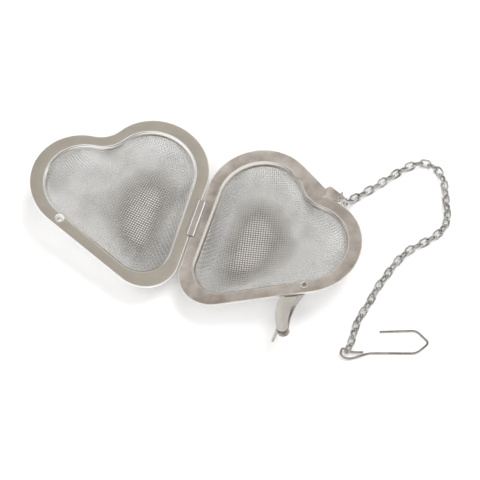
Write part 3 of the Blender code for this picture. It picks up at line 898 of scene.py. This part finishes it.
@dataclass
class Latch:
    """U-shaped sheet latch, drawn closed round the lobe and turned open about its rivet."""

    sheet: float = 0.35
    outer_r: float = 19.5
    inner_r: tuple[float, float] = (13.95, 15.6)
    start: float = -13.0
    end: float = 21.5
    low: float = -1.2
    high: float = 2.6
    opened: float = 139.0
    boss_r: float = 1.75
    cap_r: float = 2.1
    tail: tuple[tuple[float, float, float], ...] = ((18.8, 16.0, 0.6), (21.9, 28.5, 0.4))

    def crescent(self, inner_start: float) -> Outline:
        """Leg between the outer radius and a hollow inner edge, round at its end."""
        outer = [SHELL.lobe_point(self.outer_r, a) for a in steps(self.start, self.end, 24)]
        middle = SHELL.lobe_point(self.outer_r - self.cap_r, self.end)
        first = math.radians(self.end)
        cap = arc(middle, self.cap_r, first, first + math.pi, 16)
        near, far = self.inner_r
        turns = steps(inner_start, self.end, 20)
        inner = [SHELL.lobe_point(near + (far - near) * (i / 20) ** 2, a) for i, a in enumerate(turns)]
        return outer + cap[1:-1] + inner[::-1]

    def foot(self) -> Outline:
        """Lower leg, drawn out under the frame to its boss."""
        away = math.radians(SHELL.rivet_turn)
        boss = arc(SHELL.rivet, self.boss_r, away - math.pi, away + math.radians(20), 20)
        neck = [SHELL.lobe_point(18.6, -30.0), SHELL.lobe_point(19.4, -22.0)]
        return self.crescent(-24.0) + boss + neck

    def sector(self, inner_r: float, start: float, stop: float) -> Outline:
        """Part of a ring round the lobe, out to the latch's outer radius."""
        outer = [SHELL.lobe_point(self.outer_r, a) for a in steps(start, stop, 24)]
        return outer + [SHELL.lobe_point(inner_r, a) for a in steps(stop, start, 24)]

    def build(self) -> bmesh.types.BMesh:
        """Make the closed latch on the heart."""
        hole = bmesh.new()
        bmesh.ops.create_cone(hole, cap_ends=True, segments=32, radius1=1.0, radius2=1.0, depth=2)
        bmesh.ops.translate(hole, verts=hole.verts, vec=(*SHELL.rivet, self.low))
        tail = [(*SHELL.lobe_point(reach, turn), radius) for reach, turn, radius in self.tail]
        web = self.sector(self.outer_r - self.sheet, self.start, self.end)
        return carve(
            prism(self.foot(), self.low, self.low + self.sheet),
            [
                (prism(web, self.low, self.high), "UNION"),
                (prism(self.crescent(-22.0), self.high - self.sheet, self.high), "UNION"),
                (prism(disc_hull(tail), self.low + 0.03, self.low + self.sheet - 0.03), "UNION"),
                (hole, "DIFFERENCE"),
            ],
            0.1,
        )

    def dress(self, paint: bpy.types.Material) -> None:
        """Show the latch in place of its CAD node."""
        rivet = Vector((*SHELL.rivet, 0))
        swing = Matrix.Translation(rivet) @ Matrix.Rotation(-math.radians(self.opened), 4, "Z")
        shape = SHELL.settle(self.build(), Half.BASE, swing @ Matrix.Translation(-rivet))
        piece = finish_piece("latch_clip", shape, paint, "latch", 35)
        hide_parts("latch")


@dataclass
class ChainEar:
    """Sheet tab at the base's cleft that the chain hangs from."""

    discs: tuple[tuple[float, float, float], ...] = ((1.0, 46.8, 1.6), (1.6, 50.7, 1.1), (6.7, 50.8, 1.5))
    sheet: float = 0.6
    hole: tuple[float, float, float] = (6.9, 50.9, 0.95)
    eyelet: tuple[float, float, float] = (1.3, 47.2, 0.6)

    def dress(self, paint: bpy.types.Material) -> None:
        """Make and show the ear."""
        cuts = []
        for across, along, radius in (self.hole, self.eyelet):
            cut = bmesh.new()
            bmesh.ops.create_cone(cut, cap_ends=True, segments=32, radius1=radius, radius2=radius, depth=4)
            bmesh.ops.translate(cut, verts=cut.verts, vec=(across, along, 0))
            cuts.append((cut, "DIFFERENCE"))
        shape = carve(prism(disc_hull(self.discs), -self.sheet / 2, self.sheet / 2), cuts, 0.1)
        piece = finish_piece("chain_ear", SHELL.settle(shape, Half.BASE), paint, "base", 35)


@dataclass
class Chain:
    """Chain of oval wire links from the ear to the hook."""

    wire: float = 0.72
    pitch: float = 2.95
    play: float = 0.25
    width: float = 3.3
    lean: float = 45.0
    count: int = 47
    twist_links: int = 6
    margin: tuple[float, float] = (6.12, 52.01)
    rise: float = 0.45
    route: tuple[tuple[float, float, float], ...] = (
        (25.4, 20.2, 11.0), (25.8, 22.5, 6.0), (26.4, 25.0, 2.0), (28.3, 27.6, 1.27), (30.5, 30.0, 1.27),
        (34.5, 34.8, 1.27), (38.5, 40.0, 1.27), (42.6, 45.0, 1.27), (47.5, 48.4, 1.27), (53.0, 47.4, 1.27),
        (56.8, 42.8, 1.27), (58.8, 37.3, 1.27), (61.0, 31.5, 1.27), (61.7, 27.4, 1.27), (60.3, 22.7, 1.27),
        (56.3, 17.7, 1.27), (52.3, 13.5, 1.27), (49.3, 8.0, 1.27), (47.2, 1.4, 1.27), (45.5, -3.7, 1.27),
        (44.9, -7.4, 1.27), (43.8, -12.6, 1.27), (42.4, -18.5, 1.27), (42.5, -25.0, 1.27),
        (42.3, -28.6, 1.27), (41.7, -33.2, 1.27),
    )
    joints: list[Vector] = field(default_factory=list)

    def find_joints(self) -> None:
        """Step along the route, a pitch at a time in a straight line."""
        edge = SHELL.place(Half.BASE) @ Vector((*self.margin, 0)) / MM + Vector((0, 0, self.rise))
        hung = edge + Vector((0, 0.01, -self.pitch))
        knots = [hung] + [Vector(p) for p in self.route]
        knots = [2 * knots[0] - knots[1]] + knots + [2 * knots[-1] - knots[-2]]
        path = [edge]
        for a, b, c, d in zip(knots, knots[1:], knots[2:], knots[3:]):
            for t in steps(0, 1, 24)[:-1]:
                bend = (2 * a - 5 * b + 4 * c - d) * t ** 2 + (3 * b - a - 3 * c + d) * t ** 3
                path.append(0.5 * (2 * b + (c - a) * t + bend))
        path.append(knots[-2])
        self.joints = [path[0]]
        for before, after in zip(path, path[1:]):
            while (after - self.joints[-1]).length >= self.pitch and len(self.joints) <= self.count:
                low, high = 0.0, 1.0
                for _ in range(30):
                    mid = (low + high) / 2
                    far = (before.lerp(after, mid) - self.joints[-1]).length
                    low, high = (low, mid) if far > self.pitch else (mid, high)
                self.joints.append(before.lerp(after, high))

    def link(self) -> bmesh.types.BMesh:
        """One oval link along X from the joint it hangs on, in millimetres."""
        end = (self.width - self.wire) / 2
        straight = (self.pitch + self.wire + self.play) / 2 - end
        shape = bmesh.new()
        bmesh.ops.create_circle(shape, cap_ends=False, segments=12, radius=self.wire / 2)
        upright = Matrix.Rotation(math.pi / 2, 3, "Y")
        bmesh.ops.rotate(shape, verts=shape.verts, cent=(0, 0, 0), matrix=upright)
        bmesh.ops.translate(shape, verts=shape.verts, vec=(-straight, -end, 0))
        last = list(shape.edges)
        for side in (1, -1):
            side_run = {"dvec": (side * 2 * straight, 0, 0), "cent": (0, 0, 0), "angle": 0, "steps": 1}
            end_turn = {"cent": (side * straight, 0, 0), "angle": math.pi, "steps": 10}
            for move in (side_run, end_turn):
                run = bmesh.ops.spin(shape, geom=last, axis=(0, 0, 1), **move)["geom_last"]
                last = [item for item in run if isinstance(item, bmesh.types.BMEdge)]
        bmesh.ops.remove_doubles(shape, verts=shape.verts, dist=0.001)
        bmesh.ops.recalc_face_normals(shape, faces=shape.faces)
        bmesh.ops.translate(shape, verts=shape.verts, vec=(self.pitch / 2, 0, 0))
        return shape

    def stand(self, number: int) -> Matrix:
        """Place of a link: turned a quarter from the last, and leaning once it lies on the table."""
        start, stop = self.joints[number], self.joints[number + 1]
        along = (stop - start).normalized()
        across = along.cross(Vector((0, 0, 1))).normalized()
        above = across.cross(along)
        roll = math.radians(90 + 90 * number + self.lean * min(number / self.twist_links, 1.0))
        lateral = across * math.cos(roll) + above * math.sin(roll)
        lateral = (lateral - along * lateral.dot(along)).normalized()
        turn = Matrix((along, lateral, along.cross(lateral))).transposed().to_4x4()
        return Matrix.Scale(MM, 4) @ Matrix.Translation(start) @ turn

    def dress(self, paint: bpy.types.Material) -> None:
        """Make and show every link in place of its CAD node."""
        self.find_joints()
        for number in range(self.count):
            shape = self.link()
            shape.transform(self.stand(number))
            node = f"chain_link_{number + 1:02d}"
            piece = finish_piece(f"{node}_wire", shape, paint, node, 60)
            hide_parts(node)


@dataclass
class CupHook:
    """Bent wire hook that hangs the chain on a cup's rim."""

    wire_r: float = 0.39
    bend_r: float = 1.6
    back: tuple[float, float] = (-0.05, -0.46)
    route: tuple[tuple[float, float, float], ...] = (
        (8.5, 10.4, 0.42), (20.4, 14.5, 0.42), (25.9, 11.3, 0.42), (22.7, 6.2, 0.42), (14.7, 3.8, 0.42),
        (6.9, 1.4, 0.42), (4.1, -0.9, 0.5), (1.5, -2.7, 0.9), (-0.7, -3.0, 1.2), (-2.1, -1.9, 1.5),
        (-2.0, 0.1, 1.7), (-1.2, 0.17, 1.45), (1.3, -0.17, 1.1), (3.2, 0.3, 1.15), (5.3, 0.9, 1.25),
    )

    def path(self, joint: Vector) -> np.ndarray:
        """Wire path in metres, with each corner rounded."""
        shift = Vector((joint.x - self.back[0], joint.y - self.back[1], 0))
        knots = [Vector(p) + shift for p in self.route]
        path = [knots[0]]
        for before, corner, after in zip(knots, knots[1:], knots[2:]):
            into, out = before - corner, after - corner
            start = corner + into.normalized() * min(self.bend_r, into.length * 0.45)
            stop = corner + out.normalized() * min(self.bend_r, out.length * 0.45)
            for t in steps(0, 1, 10):
                path.append(start.lerp(corner, t).lerp(corner.lerp(stop, t), t))
        path.append(knots[-1])
        return np.array([p * MM for p in path])

    def dress(self, joint: Vector, paint: bpy.types.Material) -> None:
        """Make and show the hook in place of its CAD node."""
        data = wires_mesh("cup_hook_wire", [self.path(joint)], self.wire_r, 16)
        piece = show_mesh("cup_hook_wire", data, paint, "cup_hook", 50)
        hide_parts("cup_hook")


@dataclass
class Studio:
    """Pale table, soft light and the camera."""

    lens: float = 187.5
    eye: tuple[float, float, float] = (114.4, -390.3, 773.3)
    aim: tuple[float, float, float] = (-5.711, 0.454, 0.0)
    panel: tuple[float, float, float] = (-0.1, 0.34, 0.93)
    tent: tuple[tuple[float, Colour], ...] = ((0.80, (1.0, 1.0, 1.0)), (0.93, (0.42, 0.395, 0.36)))
    foot: tuple[tuple[float, Colour], ...] = ((0.06, (0.16, 0.15, 0.14)), (0.34, (1.0, 1.0, 1.0)))

    def camera(self) -> None:
        """Make the camera."""
        data = bpy.data.cameras.new("camera")
        data.lens = self.lens
        data.sensor_width = 36.0
        data.clip_start = 0.01
        data.clip_end = 100.0
        camera = bpy.data.objects.new("camera", data)
        camera.location = Vector(self.eye) * MM
        gaze = Vector(self.aim) - Vector(self.eye)
        camera.rotation_euler = gaze.to_track_quat("-Z", "Y").to_euler()
        bpy.context.scene.collection.objects.link(camera)
        bpy.context.scene.camera = camera

    def table(self) -> None:
        """Make the table."""
        shape = bmesh.new()
        bmesh.ops.create_grid(shape, x_segments=1, y_segments=1, size=3.0)
        floor = loose_object("table", shape)
        floor.data.materials.append(TablePaper().paint())

    def lamp(self, name: str, power: float, size: float, place: Sequence[float]) -> None:
        """Make a square soft lamp that faces the infuser, with its place in metres."""
        data = bpy.data.lights.new(name, "AREA")
        data.energy = power
        data.size = size
        lamp = bpy.data.objects.new(name, data)
        lamp.location = place
        lamp.rotation_euler = (-Vector(place)).to_track_quat("-Z", "Y").to_euler()
        lamp.visible_glossy = False
        bpy.context.scene.collection.objects.link(lamp)

    def sky(self) -> None:
        """Surround the table with a white tent, dark at its foot, with a dim warm panel high behind."""
        world = bpy.data.worlds.new("tent")
        bpy.context.scene.world = world
        world.use_nodes = True
        tree = world.node_tree
        way = tree.nodes.new("ShaderNodeTexCoord")
        shades = []
        for axis, stops in ((self.panel, self.tent), ((0, 0, 1), self.foot)):
            near = tree.nodes.new("ShaderNodeVectorMath")
            near.operation = "DOT_PRODUCT"
            near.inputs[1].default_value = Vector(axis).normalized()
            ramp = tree.nodes.new("ShaderNodeValToRGB")
            ramp.color_ramp.interpolation = "EASE"
            for element, (place, colour) in zip(ramp.color_ramp.elements, stops):
                element.position = place
                element.color = (*colour, 1)
            tree.links.new(way.outputs["Generated"], near.inputs[0])
            tree.links.new(near.outputs["Value"], ramp.inputs["Fac"])
            shades.append(ramp.outputs["Color"])
        both = tree.nodes.new("ShaderNodeMix")
        both.data_type = "RGBA"
        both.blend_type = "MULTIPLY"
        both.inputs[0].default_value = 1.0
        tree.links.new(shades[0], both.inputs[6])
        tree.links.new(shades[1], both.inputs[7])
        tree.links.new(both.outputs[2], tree.nodes["Background"].inputs["Color"])

    def build(self) -> None:
        """Set the whole studio."""
        self.camera()
        self.table()
        self.sky()
        self.lamp("key", 12.0, 0.7, (0.3, 0.45, 1.4))
        self.lamp("fill", 13.0, 1.2, (0.1, -0.8, 1.3))
        bpy.context.scene.view_settings.view_transform = "Standard"


def main() -> None:
    """Load the frame and build every sub-assembly and the studio."""
    logging.basicConfig(level=logging.INFO, format="%(name)s %(message)s")
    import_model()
    # The base's edge colour is close to its tone, so its edges get little painted highlight.
    base_steel = SheetSteel(
        "base_sheet_steel", (0.80, 0.75, 0.70), (0.47, 0.41, 0.37), 0.36, 0.9, 20.0, (0.80, 0.76, 0.71), 0.22
    ).paint()
    # The lid keeps the pale default edge colour, a painted highlight on its rolled edges and its dimple.
    lid_steel = SheetSteel("lid_sheet_steel", (0.72, 0.68, 0.61), (0.64, 0.60, 0.53), 0.34, 0.3, 0.0).paint()
    # The latch's dark edge colour is painted shade on its web and other sloped faces.
    latch_steel = SheetSteel(
        "latch_sheet_steel", (0.96, 0.92, 0.88), (0.76, 0.70, 0.65), 0.36, 0.4, 70.0, (0.20, 0.16, 0.135), 0.0
    ).paint()
    # The band keeps the pale default edge colour, a painted highlight on its rounded edges.
    band_steel = SheetSteel(
        "band_sheet_steel", (0.80, 0.755, 0.69), (0.58, 0.53, 0.47), 0.34, 0.4, 90.0
    ).paint()
    # The last colour is the painted shade at the bottom of the baskets, near the table.
    cloth_wire = DrawnWire(
        "mesh_wire", (0.90, 0.895, 0.88), (0.70, 0.695, 0.68), 0.28, 90.0, (0.46, 0.42, 0.38)
    ).paint()
    chain_wire = DrawnWire("chain_wire", (0.62, 0.61, 0.59), (0.34, 0.325, 0.30), 0.1, 300.0).paint()
    hook_wire = DrawnWire("hook_wire", (0.44, 0.41, 0.375), (0.28, 0.255, 0.23), 0.14, 250.0).paint()
    rivet_steel = DrawnWire("rivet_steel", (0.78, 0.76, 0.73), (0.50, 0.475, 0.45), 0.1, 400.0).paint()
    SheetFrame(Half.BASE).dress(base_steel)
    SheetFrame(Half.LID).dress(lid_steel)
    ChainEar().dress(base_steel)
    LidDimple().dress(lid_steel)
    LatchRivet().dress(rivet_steel)
    HingeBand().dress(band_steel)
    Latch().dress(latch_steel)
    for half in Half:
        WovenBasket(half).dress(cloth_wire)
    chain = Chain()
    chain.dress(chain_wire)
    CupHook().dress(chain.joints[-1], hook_wire)
    Studio().build()


if __name__ == "__main__":
    main()
